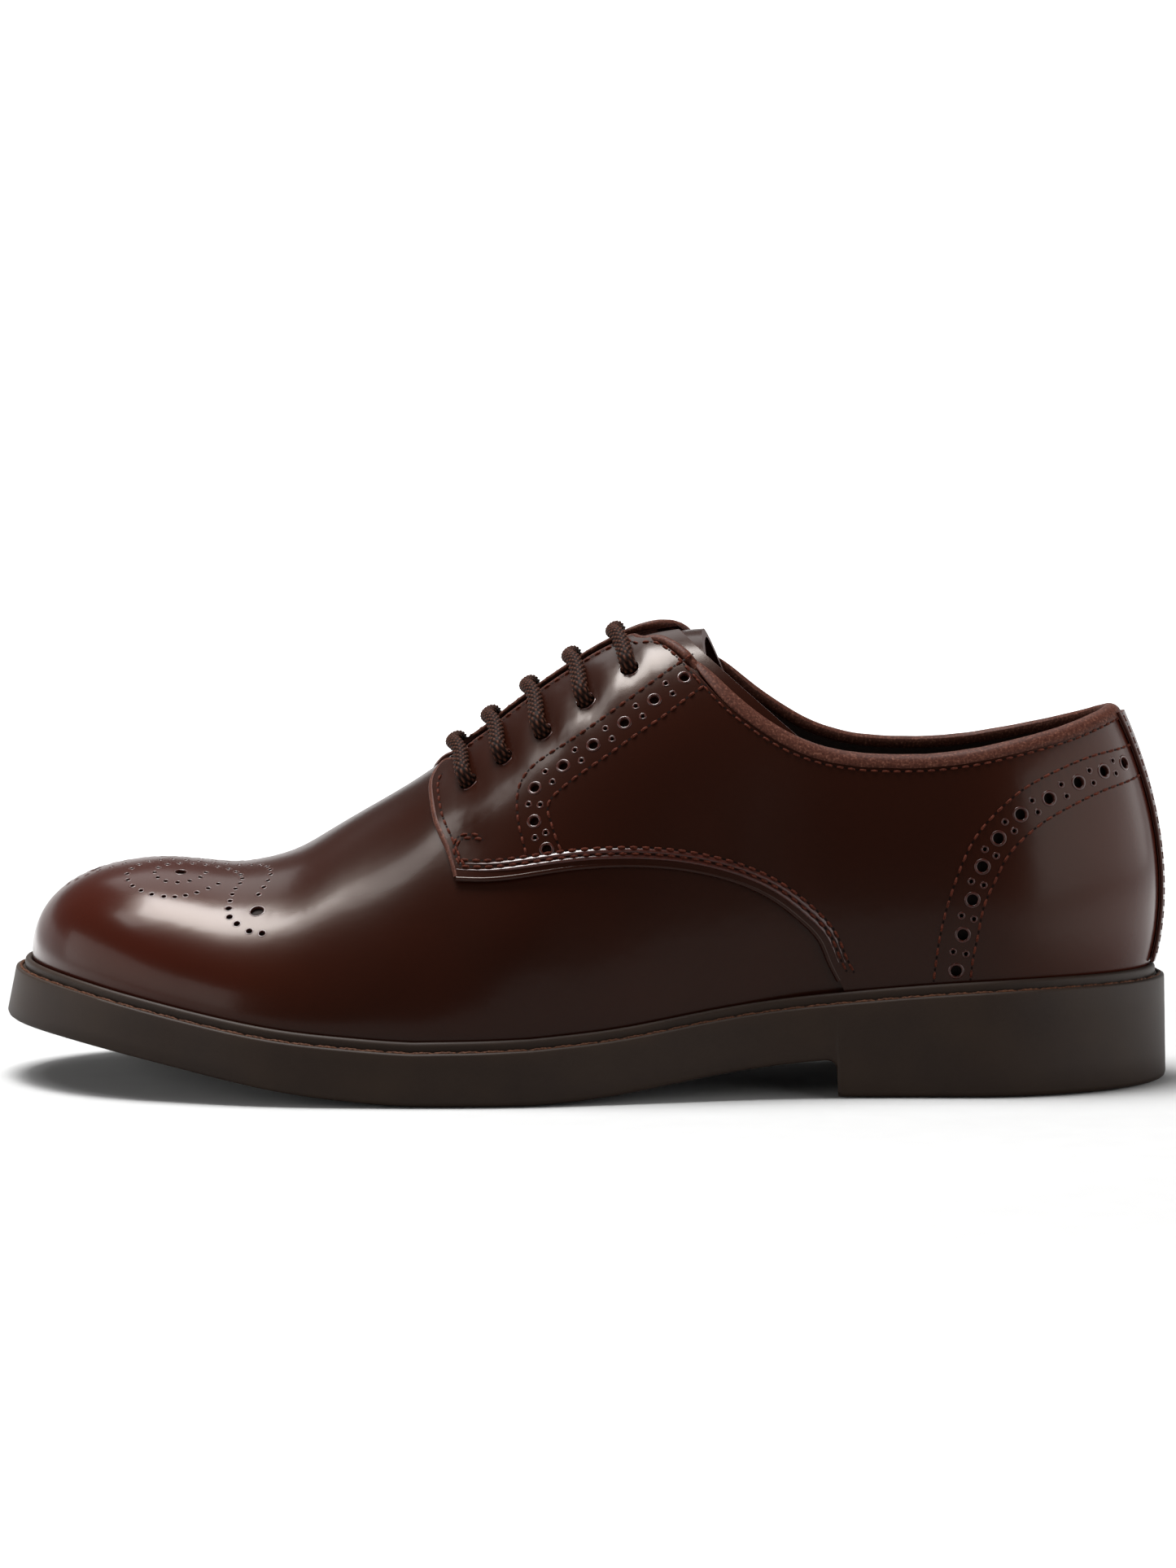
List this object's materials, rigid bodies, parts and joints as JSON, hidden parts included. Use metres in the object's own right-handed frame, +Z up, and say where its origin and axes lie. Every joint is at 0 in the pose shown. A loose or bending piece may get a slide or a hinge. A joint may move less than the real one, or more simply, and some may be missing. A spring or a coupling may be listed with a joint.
{
  "type": "derby brogue shoe",
  "caption": "Low derby shoe with a hollow punched leather upper, open-laced facings, bound collar and a moulded sole with a low heel.",
  "frame": {"origin": "on the floor, under the middle of the sole's bounding box", "axes": "+X towards the heel, -Y towards the outer side of the foot, +Z up"},
  "size_m": [0.3014, 0.1058, 0.1171],
  "materials": {
    "upper_leather": "glazed burgundy calf, glossy",
    "binding_leather": "soft brown binding leather, satin",
    "lining_leather": "dark lining leather, matt",
    "sole_rubber": "moulded dark brown rubber, satin",
    "lace": "waxed braided cotton, matt"
  },
  "bodies": {
    "root": {"outsole": "sole_rubber", "welt_rand": "sole_rubber", "insole": "lining_leather", "upper": "upper_leather", "quarter_lateral": "upper_leather", "quarter_medial": "upper_leather", "backstay": "upper_leather", "collar_binding": "binding_leather", "tongue": "upper_leather", "lace_bar_1": "lace", "lace_bar_2": "lace", "lace_bar_3": "lace", "lace_bar_4": "lace", "lace_bar_5": "lace"}
  },
  "joints": []
}
